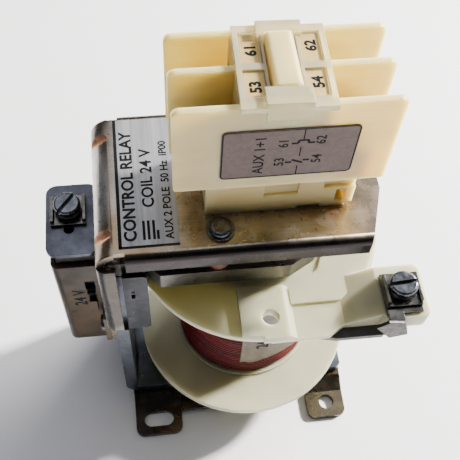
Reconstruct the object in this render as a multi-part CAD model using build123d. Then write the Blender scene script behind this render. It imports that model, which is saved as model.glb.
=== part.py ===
"""Industrial control relay: clapper electromagnet with a two-pole auxiliary contact block.

Millimetres. +X points from the hinge side to the free end of the armature, +Y points to the rear,
+Z points up. The origin is the coil axis on the plane under the feet.
"""
import os
from math import cos, radians, sin, tan

from build123d import *

# ---------------------------------------------------------------- driving dimensions
# Feet and mounting plate
SHEET = 2.0
FEET_STEP = 2.0
PLATE_X = (-37.5, 32.0)
PLATE_WIDE_Y = 25.0
PLATE_NARROW_Y = 17.5
PLATE_WIDE_X = (-22.3, 6.0)
JOGGLE_Y = (17.5, 22.5)
FEET_FRONT_Y = 31.6
FEET_HOLE_Y = 26.6
LEFT_FOOT_X = (-37.4, -22.4)
RIGHT_FOOT_X = (19.3, 31.9)
SLOT_X = -29.9
HOLE_X = 26.1
FOOT_HOLE_D = 4.8
SLOT_LENGTH = 9.6

# Yoke
YOKE_T = 3.6
YOKE_Z = FEET_STEP + SHEET
YOKE_HALF_Y = 17.0
YOKE_NECK_HALF_Y = 14.6
YOKE_SHOULDER_Z = 52.0
YOKE_LEG_X = -39.6
YOKE_END_X = 32.0
YOKE_TOP_Z = 78.5
YOKE_BEND_R = 5.0
CHEEK_END_X = -29.7
CHEEK_Z = (52.0, 81.2)

# Armature and its swing
ARMATURE_Z = 78.6
ARMATURE_T = 6.0
ARMATURE_NECK_HALF_Y = 14.4
ARMATURE_HALF_Y = 18.6
ARMATURE_X = (-39.0, 16.0)
LEAF_RIVET_X = -32.0
LEAF_RIVET_Y = 8.0
SWING_DEG = 4.4
CLOSED_GAP = 0.1

# Coil
CORE_R = 8.0
CORE_SCREW_R = 3.0
SPRING_BORE_R = 3.7
SPRING_SEAT_Z = 56.0
BOBBIN_BORE_R = 8.2
BOBBIN_TUBE_R = 10.0
FLANGE_R = 33.0
LOWER_FLANGE_Z = (17.6, 20.4)
UPPER_FLANGE_Z = (72.2, 74.0)
WINDING_R = 20.6
DECK_Z = 76.0
PAD_X = (28.2, 40.2)
PAD_Y = (-32.4, -17.6)
PAD_Z = (74.6, 78.0)
ARM_FRONT_Y = -33.6
RAMP_X = 18.9
RAMP_FRONT_Y = -31.1
SHELF_FRONT_Y = -24.4
SHELF_Z = 74.9
FLANGE_HOLE = (0.2, -28.0)
FLANGE_HOLE_R = 2.2
SLEEVE_Z = (69.9, 71.5)
LUG_Y = (-34.65, -33.75)

# Screw terminals of the coil
TERMINAL_SCREW_R = 2.0
TERMINAL_HEAD_R = 3.5
TERMINAL_HEAD_H = 2.6
RIGHT_TERMINAL = (33.4, -25.6)
LEFT_TERMINAL = (-49.0, 6.6)
TEST_HOLE_Y = 1.2
TEST_HOLE_R = 1.3
TERMINAL_STRIP_T = 1.2
TERMINAL_Z = 78.0

# Top bracket
BRACKET_T = 1.5
BRACKET_TOP_Z = 98.5
BRACKET_HALF_Y = 21.5
BRACKET_LEG_X = -41.2
BRACKET_END_X = 28.0
BRACKET_FLANGE_Z = 92.8
BRACKET_LEG_FLANGE_Z = 62.0
BRACKET_BEND_R = 2.2
BRACKET_LEFT_R = 5.5
BRACKET_LEG_FLANGE_TOP_Z = 93.2
BRACKET_LEG_LOW_Z = 42.0
LEG_FLANGE_X = -36.8
TOP_FLANGE_X = -34.2
DART_RISE = 4.4
RIVET_PLACES = [(-11.6, 47.0), (12.6, 47.0)]
RIVET_R = 1.5
RIVET_HOLE_R = 1.55
LEAD_HOLE_R = 3.2
STOP_X = -11.9
STOP_Y = 15.4

# Terminal channel on the outer side of the leg
CHANNEL_X = -54.4
CHANNEL_Y = (-8.0, 17.0)
CHANNEL_Z = (30.0, 73.6)
CHANNEL_T = 1.5

# Left coil lead, from the winding through both legs and up to the terminal
LEAD_Y = 9.0
LEAD_Z = 60.0
LEAD_RISE_X = -44.6

# Contact block
BLOCK_X = (-22.4, 24.8)
BLOCK_BODY_X = (-15.0, 19.8)
BLOCK_CENTRE_X = 0.7
BLOCK_Z = (98.6, 111.0)
BARRIER_TOP_Z = 137.0
BARRIER_T = 1.4
BARRIER_PITCH = 10.1
BARRIER_FRONT_Y = -12.5
TOWER_HALF_X = 9.6
WALL = 1.5
FRAME_T = 1.5
FRAME_Y = (-14.1, 8.3)
FRAME_TURN = -1.5
BAR_HALF_X = 3.0
BAR_Y = (-9.3, 4.9)

# Contacts and traverse
POLE_OFFSET_Y = 5.95
CONTACT_STRIP_Z = 123.0
CONTACT_STRIP_T = 1.2
CONTACT_TIP_H = 0.8
CONTACT_TIP_R = 1.6
CONTACT_TIP_X = 7.2
CONTACT_SCREW_X = 15.6
BRIDGE_T = 1.0
TRAVERSE_HALF_X = 4.7
TRAVERSE_Z = (114.0, 140.0)
STEM_R = 2.0

# ---------------------------------------------------------------- worked-out dimensions
HINGE_X = YOKE_LEG_X + YOKE_T
BASE_TOP_Z = YOKE_Z + YOKE_T
SWING_TAN = tan(radians(SWING_DEG))
TRAVERSE_TRAVEL = (BLOCK_CENTRE_X - HINGE_X) * radians(SWING_DEG)
ARMATURE_TOP_Z = ARMATURE_Z + ARMATURE_T
BARRIER_Y = [BARRIER_FRONT_Y + BARRIER_PITCH * i for i in range(3)]
POLE_Y = [BARRIER_Y[0] + POLE_OFFSET_Y, BARRIER_Y[1] + POLE_OFFSET_Y]
POLE_MID_Y = BARRIER_Y[1] + BARRIER_T / 2
BLOCK_SCREW_X = (BLOCK_CENTRE_X - 11.0, BLOCK_CENTRE_X + 11.0)
NO_TIP_Z = CONTACT_STRIP_Z + CONTACT_STRIP_T + CONTACT_TIP_H + TRAVERSE_TRAVEL + CLOSED_GAP
NO_BRIDGE_Z = NO_TIP_Z + CONTACT_TIP_H
NC_BRIDGE_Z = CONTACT_STRIP_Z - 2 * CONTACT_TIP_H - CLOSED_GAP - BRIDGE_T

CARD_X = [(BLOCK_CENTRE_X - 8.4, BLOCK_CENTRE_X - 4.0), (BLOCK_CENTRE_X + 4.0, BLOCK_CENTRE_X + 8.4)]
CARD_Y = [(-11.2, -4.0), (-2.2, 6.2)]

PARTS = {}


# ---------------------------------------------------------------- small helpers
def block(x, y, z):
    """Box between the limits x=(low, high), y=(low, high), z=(low, high)."""
    size = (x[1] - x[0], y[1] - y[0], z[1] - z[0])
    centre = ((x[0] + x[1]) / 2, (y[0] + y[1]) / 2, (z[0] + z[1]) / 2)
    return Pos(*centre) * Box(*size)


def post(x, y, z, radius):
    """Upright cylinder at x, y between the heights z=(low, high)."""
    return Pos(x, y, (z[0] + z[1]) / 2) * Cylinder(radius, z[1] - z[0])


def ring(x, y, z, outer, inner):
    """Upright tube between the heights z=(low, high)."""
    return post(x, y, z, outer) - post(x, y, (z[0] - 1, z[1] + 1), inner)


def rounded_slab(x, y, z, radius):
    """Flat slab with its four upright edges rounded."""
    slab = block(x, y, z)
    return fillet(slab.edges().filter_by(Axis.Z), radius)


def profile_xz(points, y):
    """Prism of an outline in the XZ plane, between y=(low, high)."""
    face = Plane.XZ.offset(-y[0]) * make_face(Polyline(*points, close=True))
    return extrude(face, y[1] - y[0], dir=(0, 1, 0))


def profile_yz(points, x):
    """Prism of an outline in the YZ plane, between x=(low, high)."""
    face = Plane.YZ.offset(x[0]) * make_face(Polyline(*points, close=True))
    return extrude(face, x[1] - x[0], dir=(1, 0, 0))


def profile_xy(points, z):
    """Prism of an outline in the XY plane, between z=(low, high)."""
    face = Plane.XY.offset(z[0]) * make_face(Polyline(*points, close=True))
    return extrude(face, z[1] - z[0], dir=(0, 0, 1))


def coil_spring(x, y, z, mean_r, wire_r, turns):
    """Helical spring standing between the heights z=(low, high)."""
    height = z[1] - z[0] - 2 * wire_r
    path = Helix(pitch=height / turns, height=height, radius=mean_r)
    section = Plane(origin=path @ 0, z_dir=path % 0) * Circle(wire_r)
    return Pos(x, y, z[0] + wire_r) * sweep(section, path=path, is_frenet=True)


def slotted_screw(x, y, seat_z, length, shank_r, head_r, head_h, slot_deg):
    """Cheese-head screw pointing down, with a domed and slotted head on the plane seat_z."""
    head = post(x, y, (seat_z, seat_z + head_h), head_r)
    head = fillet(head.edges().filter_by(GeomType.CIRCLE).group_by(Axis.Z)[-1], 0.28 * head_h)
    shank = post(x, y, (seat_z - length, seat_z + 0.2), shank_r)
    shank = chamfer(shank.edges().group_by(Axis.Z)[0], 0.2 * shank_r)
    slot = Pos(x, y, seat_z + head_h) * Rot(0, 0, slot_deg) * Box(3 * head_r, 0.32 * head_r, 0.9 * head_h)
    return head + shank - slot


def keep(name, *solids):
    """Store one node, made of one solid or of several separate ones."""
    PARTS[name] = solids[0] if len(solids) == 1 else Compound(children=list(solids))


# ---------------------------------------------------------------- base
def foot(x, side):
    """Foot stepped down from the mounting plate to the ground, side=-1 at the front, +1 at the rear."""
    near, far = JOGGLE_Y
    outline = [(side * y, z) for y, z in (
        (near - 1.0, FEET_STEP), (near, FEET_STEP), (far, 0.0), (FEET_FRONT_Y, 0.0),
        (FEET_FRONT_Y, SHEET), (far + 0.6, SHEET), (near + 0.6, FEET_STEP + SHEET),
        (near - 1.0, FEET_STEP + SHEET))]
    tab = profile_yz(outline, x)
    outer = [e for e in tab.edges().filter_by(Axis.Z) if abs(abs(e.center().Y) - FEET_FRONT_Y) < 0.1]
    return fillet(outer, 2.6)


def mounting_plate():
    middle = block(PLATE_X, (-PLATE_NARROW_Y, PLATE_NARROW_Y), (FEET_STEP, YOKE_Z))
    plate = middle + block(PLATE_WIDE_X, (-PLATE_WIDE_Y, PLATE_WIDE_Y), (FEET_STEP, YOKE_Z))
    for side in (-1, 1):
        slot_place = Pos(SLOT_X, side * FEET_HOLE_Y, 0)
        slot = extrude(slot_place * SlotOverall(SLOT_LENGTH, FOOT_HOLE_D), 2 * SHEET, both=True)
        plate += foot(LEFT_FOOT_X, side) + foot(RIGHT_FOOT_X, side)
        plate -= slot
        plate -= post(HOLE_X, side * FEET_HOLE_Y, (-1, SHEET + 1), FOOT_HOLE_D / 2)
    return plate - core_screw_seat() - post(0, 0, (0, YOKE_Z + 1), CORE_SCREW_R + 0.1)


def core_screw_seat():
    """Countersink that takes the head of the core screw."""
    return Pos(0, 0, FEET_STEP + 1.5) * Cone(6.1, CORE_SCREW_R + 0.1, 3.0)


def yoke():
    """L-shaped magnet yoke, bent from one bar, with a waist on the leg and the hinge edge on top."""
    base = block((YOKE_LEG_X, YOKE_END_X), (-YOKE_HALF_Y, YOKE_HALF_Y), (YOKE_Z, BASE_TOP_Z))
    leg_x = (YOKE_LEG_X, HINGE_X)
    leg = block(leg_x, (-YOKE_HALF_Y, YOKE_HALF_Y), (YOKE_Z, YOKE_SHOULDER_Z))
    neck = block(leg_x, (-YOKE_NECK_HALF_Y, YOKE_NECK_HALF_Y), (YOKE_SHOULDER_Z - 1, YOKE_TOP_Z))
    body = base + leg + neck
    outer = [e for e in body.edges().filter_by(Axis.Y)
             if e.center().X < YOKE_LEG_X + 0.1 and e.center().Z < YOKE_Z + 0.1]
    body = fillet(outer, YOKE_BEND_R)
    inner = [e for e in body.edges().filter_by(Axis.Y)
             if abs(e.center().X - HINGE_X) < 0.1 and abs(e.center().Z - BASE_TOP_Z) < 0.1]
    body = fillet(inner, 1.2)
    ends = [e for e in body.edges().filter_by(Axis.Z) if e.center().X > YOKE_END_X - 0.1]
    body = chamfer(ends, 1.5)
    lead_hole = Pos(HINGE_X - YOKE_T / 2, LEAD_Y, LEAD_Z) * Rot(0, 90, 0) * Cylinder(LEAD_HOLE_R, 3 * YOKE_T)
    return body - lead_hole - core_screw_seat() - post(0, 0, (0, BASE_TOP_Z + 1), CORE_SCREW_R + 0.1)


def hinge_cheek(side):
    """Guide plate beside the neck of the armature, folded onto the inner face of the yoke leg."""
    y = [side * (ARMATURE_NECK_HALF_Y + gap) for gap in (1.0, 2.2)]
    plate = block((HINGE_X + 0.05, CHEEK_END_X), sorted(y), CHEEK_Z)
    tab = block((HINGE_X + 0.05, HINGE_X + 1.25), sorted((y[0], y[0] - side * 5.0)), (65.0, 71.0))
    slot = block((HINGE_X + 1.9, HINGE_X + 2.9), sorted((y[0] - side, y[1] + side)), (70.0, 74.0))
    ends = [e for e in plate.edges().filter_by(Axis.Y) if e.center().X > CHEEK_END_X - 0.1]
    return fillet(ends, 1.5) + tab - slot


# ---------------------------------------------------------------- coil
def pole_cut():
    """Wedge above the pole face, which is ground to the armature's closed angle."""
    reach = 14.0
    level = ARMATURE_Z - CLOSED_GAP
    low = level - (reach - HINGE_X) * SWING_TAN
    high = level - (-reach - HINGE_X) * SWING_TAN
    return profile_xz([(-reach, high), (reach, low), (reach, 90.0), (-reach, 90.0)], (-reach, reach))


def core():
    body = post(0, 0, (BASE_TOP_Z, 80.0), CORE_R) - pole_cut()
    body -= post(0, 0, (SPRING_SEAT_Z, 90.0), SPRING_BORE_R)
    return body - post(0, 0, (0.0, 30.0), CORE_SCREW_R + 0.03)


def core_screw():
    head = Pos(0, 0, FEET_STEP + 1.5) * Cone(6.0, CORE_SCREW_R, 3.0)
    shank = post(0, 0, (FEET_STEP + 1.0, 28.0), CORE_SCREW_R)
    slot = Pos(0, 0, FEET_STEP) * Box(20.0, 1.4, 2.0)
    return head + shank - slot


def coil_spacer():
    """Fibre collar that lifts the bobbin off the yoke."""
    return ring(0, 0, (BASE_TOP_Z, LOWER_FLANGE_Z[0]), 13.0, BOBBIN_BORE_R)


def bobbin():
    tube = post(0, 0, (LOWER_FLANGE_Z[0], UPPER_FLANGE_Z[1]), BOBBIN_TUBE_R)
    lower = post(0, 0, LOWER_FLANGE_Z, FLANGE_R)
    upper = post(0, 0, UPPER_FLANGE_Z, FLANGE_R)
    body = tube + lower + upper
    body += ring(0, 0, (LOWER_FLANGE_Z[1] - 0.2, LOWER_FLANGE_Z[1] + 1.0), WINDING_R + 1.1, WINDING_R + 0.1)
    body = body + bobbin_arm() + bobbin_deck()
    body -= post(0, 0, (0, 90), BOBBIN_BORE_R)
    body -= post(*FLANGE_HOLE, (UPPER_FLANGE_Z[0] - 1, 90), FLANGE_HOLE_R)
    body -= post(RIGHT_TERMINAL[0], RIGHT_TERMINAL[1], (60, 90), TERMINAL_SCREW_R + 0.2)
    nut_room = 4.2
    nut_x, nut_y = RIGHT_TERMINAL
    nut_pocket = block((nut_x - nut_room, nut_x + nut_room), (nut_y - nut_room, nut_y + nut_room),
                       (70.0, PAD_Z[0] + 0.2))
    return body - nut_pocket


def bobbin_deck():
    """Raised strip on the upper flange with a sloped rib down to the flange at its right."""
    strip = [(-7.4, UPPER_FLANGE_Z[0] + 0.5), (7.6, UPPER_FLANGE_Z[0] + 0.5), (4.4, DECK_Z), (-7.4, DECK_Z)]
    body = profile_xz(strip, (ARM_FRONT_Y, -19.4))
    trim = post(0, 0, (60, 90), FLANGE_R) + block((-2.0, 12.0), (ARM_FRONT_Y, -20.0), (60, 90))
    return body & trim


def bobbin_arm():
    """Arm from the upper flange to the terminal pad, with a ramp up to the pad and a raised shelf."""
    z = UPPER_FLANGE_Z
    arm_points = [(0.0, ARM_FRONT_Y), (14.6, ARM_FRONT_Y), (RAMP_X - 0.3, RAMP_FRONT_Y),
                  (PAD_X[0] + 1.0, RAMP_FRONT_Y), (PAD_X[1], PAD_Y[0] + 1.0), (PAD_X[1], PAD_Y[1]),
                  (27.4, -16.0), (14.0, -24.0), (0.0, -24.0)]
    arm = profile_xy(arm_points, z)
    ramp = profile_xz([(RAMP_X, z[0]), (PAD_X[0] + 1.8, z[0]), (PAD_X[0] + 1.8, PAD_Z[1]),
                       (PAD_X[0], PAD_Z[1]), (RAMP_X, z[1])], (RAMP_FRONT_Y, PAD_Y[1]))
    pad = rounded_slab(PAD_X, PAD_Y, (z[0], PAD_Z[1]), 1.6)
    shelf_points = [(6.0, SHELF_FRONT_Y), (RAMP_X, SHELF_FRONT_Y), (27.6, -16.9), (34.0, -4.0), (6.0, -4.0)]
    shelf = post(0, 0, (z[1] - 0.2, SHELF_Z), FLANGE_R) & profile_xy(shelf_points, (70, 80))
    return arm + ramp + pad + (shelf - armature_room())


def armature_room():
    """Room in the shelf for the free end of the armature."""
    outline = [(0.0, -19.6), (6.6, -19.6), (14.4, -15.2), (17.0, -9.4), (17.0, 0.0), (0.0, 0.0)]
    return profile_xy(outline, (70, 80))


def winding():
    return ring(0, 0, (LOWER_FLANGE_Z[1] + 0.1, UPPER_FLANGE_Z[0] - 0.1), WINDING_R, BOBBIN_TUBE_R + 0.1)


def winding_label():
    """Paper label wrapped over the front right part of the winding."""
    sleeve = ring(0, 0, (30.0, 66.0), WINDING_R + 0.3, WINDING_R + 0.05)
    wedge = [(0, 0)] + [(60 * cos(radians(a)), 60 * sin(radians(a))) for a in (-104, -75, -45, -15, 15, 20)]
    return sleeve & profile_xy(wedge, (20, 70))


# ---------------------------------------------------------------- coil leads
def flat_lead(path, width, thick, side):
    """Flat insulated lead swept along a smooth path; side is the direction of its width."""
    start = path @ 0
    section = Plane(origin=start, x_dir=side, z_dir=path % 0) * Rectangle(width, thick)
    return sweep(section, path=path, transition=Transition.ROUND)


def right_lead():
    """Lead from the winding under the arm, ending in a wide flat sleeve below the right terminal."""
    path = Spline((4.0, -21.6, 66.0), (7.6, -27.4, 68.4), (13.0, -30.8, 70.5),
                  tangents=((0.3, -0.9, 0.2), (0.9, -0.3, 0.1)))
    sleeve = profile_xy([(7.9, -31.6), (16.8, -33.6), (28.8, LUG_Y[1] + 0.05), (28.8, -30.4),
                         (18.0, -29.4), (9.0, -28.4)], SLEEVE_Z)
    return flat_lead(path, 3.2, 1.2, (0, 0, 1)) + sleeve


def left_lead():
    """Lead from the winding through the yoke leg and the bracket leg into the terminal insulator."""
    path = FilletPolyline((-19.4, LEAD_Y, LEAD_Z), (LEAD_RISE_X, LEAD_Y, LEAD_Z),
                          (LEAD_RISE_X, LEAD_Y, TERMINAL_Z - 2.2), radius=2.2)
    section = Plane(origin=path @ 0, z_dir=path % 0) * Circle(1.3)
    return sweep(section, path=path)


# ---------------------------------------------------------------- coil terminals
def right_terminal_strip():
    """Tinned strip on the pad, with a narrow tail bent down over its front edge."""
    x, y = RIGHT_TERMINAL
    z = (TERMINAL_Z, TERMINAL_Z + TERMINAL_STRIP_T)
    flat = block((x - 4.6, x + 4.6), (PAD_Y[0] + 0.8, y + 5.0), z)
    tail = block((x - 4.4, x - 0.6), (PAD_Y[0] - TERMINAL_STRIP_T, PAD_Y[0] + 1.0), z)
    drop = block((x - 4.4, x - 0.6), (PAD_Y[0] - TERMINAL_STRIP_T, PAD_Y[0] - 0.05), (70.6, z[1]))
    strip = flat + tail + drop
    return strip - post(x, y, (z[0] - 1, z[1] + 1), TERMINAL_SCREW_R + 0.1)


def lead_lug():
    """Crimped flag of the right lead, lying against the turned-down strip."""
    x = RIGHT_TERMINAL[0]
    outline = [(x - 8.0, 77.8), (x - 5.2, 80.2), (x - 1.0, 79.2), (x + 0.3, 76.0), (x + 1.3, 72.3),
               (x - 3.3, 71.0)]
    return profile_xz(outline, LUG_Y)


def left_terminal_plate():
    x, y = LEFT_TERMINAL
    z = (TERMINAL_Z - 1.6, TERMINAL_Z - 0.2)
    plate = rounded_slab((-55.0, BRACKET_LEG_X - 0.2), (-6.6, 15.4), z, 2.8)
    plate -= post(x, y, (70, 80), TERMINAL_SCREW_R + 0.05)
    return plate - post(x, TEST_HOLE_Y, (70, 80), TEST_HOLE_R)


def terminal_insulator():
    """Moulded block in the top of the channel, which carries the left terminal plate."""
    body = block((CHANNEL_X + CHANNEL_T + 0.1, BRACKET_LEG_X - 0.1), (CHANNEL_Y[0] + CHANNEL_T + 0.1,
                 CHANNEL_Y[1] - CHANNEL_T - 0.1), (56.0, TERMINAL_Z - 1.7))
    x, y = LEFT_TERMINAL
    body -= post(x, y, (64.0, 80), TERMINAL_SCREW_R + 0.2)
    body -= post(x, TEST_HOLE_Y, (66.0, 80), TEST_HOLE_R)
    return body - block((LEAD_RISE_X - 1.6, -40.0), (LEAD_Y - 1.7, LEAD_Y + 1.7), (50, 80))


def terminal_seats():
    """Seat heights and slot directions of the two wire clamp screws."""
    right = (RIGHT_TERMINAL[0], RIGHT_TERMINAL[1], TERMINAL_Z + TERMINAL_STRIP_T, 4.0)
    left = (LEFT_TERMINAL[0], LEFT_TERMINAL[1], TERMINAL_Z - 0.2, 52.0)
    return (right, left)


def saddle_washer(x, y, z):
    """Square clamp washer with two upturned lips at its sides."""
    half = 4.6
    plate = block((x - half, x + half), (y - half, y + half), (z + 0.05, z + 1.05))
    for side in (-1, 1):
        edge = sorted((x + side * half, x + side * (half - 0.9)))
        plate += block(edge, (y - half + 0.6, y + half - 0.6), (z + 0.05, z + 2.3))
    return plate - post(x, y, (z - 1, z + 2), TERMINAL_SCREW_R + 0.25)


def spring_washer(x, y, z):
    gap = block((x, x + 5), (y - 0.4, y + 0.4), (z, z + 3))
    return ring(x, y, (z + 1.1, z + 2.0), 3.3, TERMINAL_SCREW_R + 0.15) - gap


def terminal_nut(x, y, z):
    nut = block((x - 3.5, x + 3.5), (y - 3.5, y + 3.5), (z - 2.4, z))
    return nut - post(x, y, (z - 3, z + 1), TERMINAL_SCREW_R + 0.03)


# ---------------------------------------------------------------- top bracket
def bracket_shell():
    """Top plate, left leg and their flanges, as the difference of two rounded blocks."""
    def envelope(inset, radius_left, radius_side):
        x = (BRACKET_LEG_X + inset, BRACKET_END_X + 20)
        y = (-BRACKET_HALF_Y + inset, BRACKET_HALF_Y - inset)
        body = block(x, y, (40.0, BRACKET_TOP_Z - inset))
        top_left = [e for e in body.edges().filter_by(Axis.Y)
                    if e.center().X < x[0] + 0.1 and e.center().Z > BRACKET_TOP_Z - inset - 0.1]
        body = fillet(top_left, radius_left)
        upright = [e for e in body.edges() if e.center().X < BRACKET_END_X + 19
                   and abs(abs(e.center().Y) - (BRACKET_HALF_Y - inset)) < 0.1 and e.center().Z > 41]
        return fillet(upright, radius_side)
    outer = envelope(0.0, BRACKET_LEFT_R, BRACKET_BEND_R)
    inner = envelope(BRACKET_T, BRACKET_LEFT_R - BRACKET_T, BRACKET_BEND_R - BRACKET_T)
    return outer - inner


def top_bracket():
    shell = bracket_shell()
    wide, high = (-60, 60), (30, 120)
    shell -= block((LEG_FLANGE_X, 60), (-30, 30), (30, BRACKET_FLANGE_Z))
    shell -= block(wide, (-30, 30), (30, BRACKET_LEG_LOW_Z)) + block((BRACKET_END_X, 60), (-30, 30), high)
    for side in (-1, 1):
        def beyond(y):
            return sorted((side * y, side * 30))
        shell -= block((-60, 0), beyond(14.8), (30, BRACKET_LEG_FLANGE_Z))
        shell -= block((-60, TOP_FLANGE_X), beyond(19.9), (BRACKET_LEG_FLANGE_TOP_Z, 120))
        shell -= block((LEG_FLANGE_X, TOP_FLANGE_X), beyond(19.6), (80, 120))
        shell -= profile_xy([(BRACKET_END_X + 1, side * 6.0), (BRACKET_END_X + 1, side * 30),
                             (BRACKET_END_X - 4.6, side * 30), (BRACKET_END_X - 4.6, side * BRACKET_HALF_Y),
                             (BRACKET_END_X, side * 7.0)], (80, 120))
        shell -= post(STOP_X, side * STOP_Y, (90, 100), RIVET_HOLE_R + 0.05)
        shell -= stiffening_dart(side)
    shell -= post(BLOCK_CENTRE_X, POLE_MID_Y, (90, 100), 5.6)
    for x in BLOCK_SCREW_X:
        shell -= post(x, POLE_MID_Y, (90, 100), 1.55)
    shell -= Pos(BRACKET_LEG_X, LEAD_Y, LEAD_Z) * Rot(0, 90, 0) * Cylinder(LEAD_HOLE_R, 6)
    for place in RIVET_PLACES:
        shell -= Pos(BRACKET_LEG_X, *place) * Rot(0, 90, 0) * Cylinder(RIVET_HOLE_R, 6)
    return shell


def stiffening_dart(side):
    """Shallow round groove pressed across the left bend."""
    radius = 2.2
    lift = radius * cos(radians(45))
    x = BRACKET_LEG_X + DART_RISE / 2 - lift
    z = BRACKET_TOP_Z - DART_RISE / 2 + lift
    return Pos(x, side * 14.1, z) * Rot(0, 45, 0) * Cylinder(radius, 14.0)


def round_rivet_x(y, z, head_x, length):
    """Rivet along X with its dome head towards -X."""
    shank = Pos(head_x + length / 2, y, z) * Rot(0, 90, 0) * Cylinder(RIVET_R, length)
    dome = Pos(head_x, y, z) * Rot(0, -90, 0) * (Sphere(2.6) & block((-3, 3), (-3, 3), (0.0, 3)))
    squash = Pos(head_x - 1.4, y, z) * Box(0.6, 8, 8)
    return shank + dome - squash - Pos(head_x - 3.0, y, z) * Box(3.2, 8, 8)


def armature_stop(side):
    """Bumper sleeve under the top plate that the armature rests against when it is released."""
    z = (ARMATURE_TOP_Z + CLOSED_GAP, BRACKET_TOP_Z - BRACKET_T)
    return ring(STOP_X, side * STOP_Y, z, 2.8, RIVET_HOLE_R)


def stop_rivet(side):
    z = BRACKET_TOP_Z
    body = post(STOP_X, side * STOP_Y, (ARMATURE_TOP_Z + 1.2, z + 0.5), RIVET_R)
    body += post(STOP_X, side * STOP_Y, (z, z + 0.5), 3.4)
    head = post(STOP_X, side * STOP_Y, (z + 0.4, z + 1.9), 2.7)
    return body + fillet(head.edges().group_by(Axis.Z)[-1], 1.0)


def nameplate():
    return block((-35.4, -21.4), (-18.4, 19.1), (BRACKET_TOP_Z + 0.02, BRACKET_TOP_Z + 0.22))


def terminal_channel():
    """Channel riveted to the leg: front wall, outer web, rear wall and two inner lugs."""
    y0, y1 = CHANNEL_Y
    x1 = BRACKET_LEG_X - 0.05
    body = block((CHANNEL_X, x1), CHANNEL_Y, CHANNEL_Z)
    upright = [e for e in body.edges().filter_by(Axis.Z) if e.center().X < CHANNEL_X + 0.1]
    body = fillet(upright, 2.0)
    body -= block((CHANNEL_X + CHANNEL_T, x1 + 1), (y0 + CHANNEL_T, y1 - CHANNEL_T), (20, 90))
    for wall_y in (y0, y1):
        body += block((x1 - CHANNEL_T, x1), (wall_y - 7.0, wall_y), (42.0, 55.8))
    for place in RIVET_PLACES:
        body -= Pos(BRACKET_LEG_X, *place) * Rot(0, 90, 0) * Cylinder(RIVET_HOLE_R, 6)
    window = block((-46.6, -44.0), (y0 - 1, y0 + CHANNEL_T + 0.1), (61.0, 65.4))
    lance = profile_xz([(-46.4, 49.6), (-44.2, 49.6), (-44.2, 60.4), (-46.4, 60.4)], (y0 - 1.5, y0 + 0.1))
    lance -= Pos(-45.3, y0 - 1.6, 59.0) * Rot(28, 0, 0) * Box(6, 2.2, 18)
    return body - window + lance


def channel_rivet(place):
    y, z = place
    return round_rivet_x(y, z, BRACKET_LEG_X - CHANNEL_T - 0.06, 3.0)


# ---------------------------------------------------------------- armature
def armature():
    """Soft-iron clapper: narrow at the hinge, wide over the coil, tapered at its free end."""
    x0, x1 = ARMATURE_X
    neck = ARMATURE_NECK_HALF_Y
    wide = ARMATURE_HALF_Y
    right_side = [(x0, neck), (-30.2, neck), (-26.4, wide), (6.0, wide), (13.4, 14.4), (x1, 9.0)]
    outline = right_side + [(x, -y) for x, y in reversed(right_side)]
    body = profile_xy(outline, (ARMATURE_Z, ARMATURE_TOP_Z))
    tip = [e for e in body.edges().filter_by(Axis.Z) if e.center().X > 12]
    body = fillet(tip, 2.5)
    for side in (-1, 1):
        body -= post(LEAF_RIVET_X, side * LEAF_RIVET_Y, (70, 90), RIVET_HOLE_R)
    return body


def armature_shim():
    """Thin brass disc under the armature that keeps it from sticking to the pole."""
    return ring(0, 0, (ARMATURE_Z - 0.08, ARMATURE_Z - 0.005), CORE_R - 0.3, SPRING_BORE_R - 0.2)


def armature_leaf():
    """Spring-steel leaf on the armature that keeps it down on the hinge edge."""
    leaf = block((-38.6, -24.0), (-11.0, 11.0), (ARMATURE_TOP_Z + 0.02, ARMATURE_TOP_Z + 0.52))
    for side in (-1, 1):
        leaf -= post(LEAF_RIVET_X, side * LEAF_RIVET_Y, (70, 90), RIVET_HOLE_R)
    return leaf


def leaf_rivet(side):
    x, y = LEAF_RIVET_X, side * LEAF_RIVET_Y
    shank = post(x, y, (ARMATURE_Z + 0.3, ARMATURE_TOP_Z + 1.0), RIVET_R)
    head = post(x, y, (ARMATURE_TOP_Z + 0.54, ARMATURE_TOP_Z + 1.7), 2.6)
    return shank + fillet(head.edges().group_by(Axis.Z)[-1], 0.8)


def return_spring():
    """Compression spring in the core that lifts the armature off the pole."""
    return coil_spring(0, 0, (SPRING_SEAT_Z + 0.05, ARMATURE_Z - 0.1), 2.9, 0.45, 7)


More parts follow.
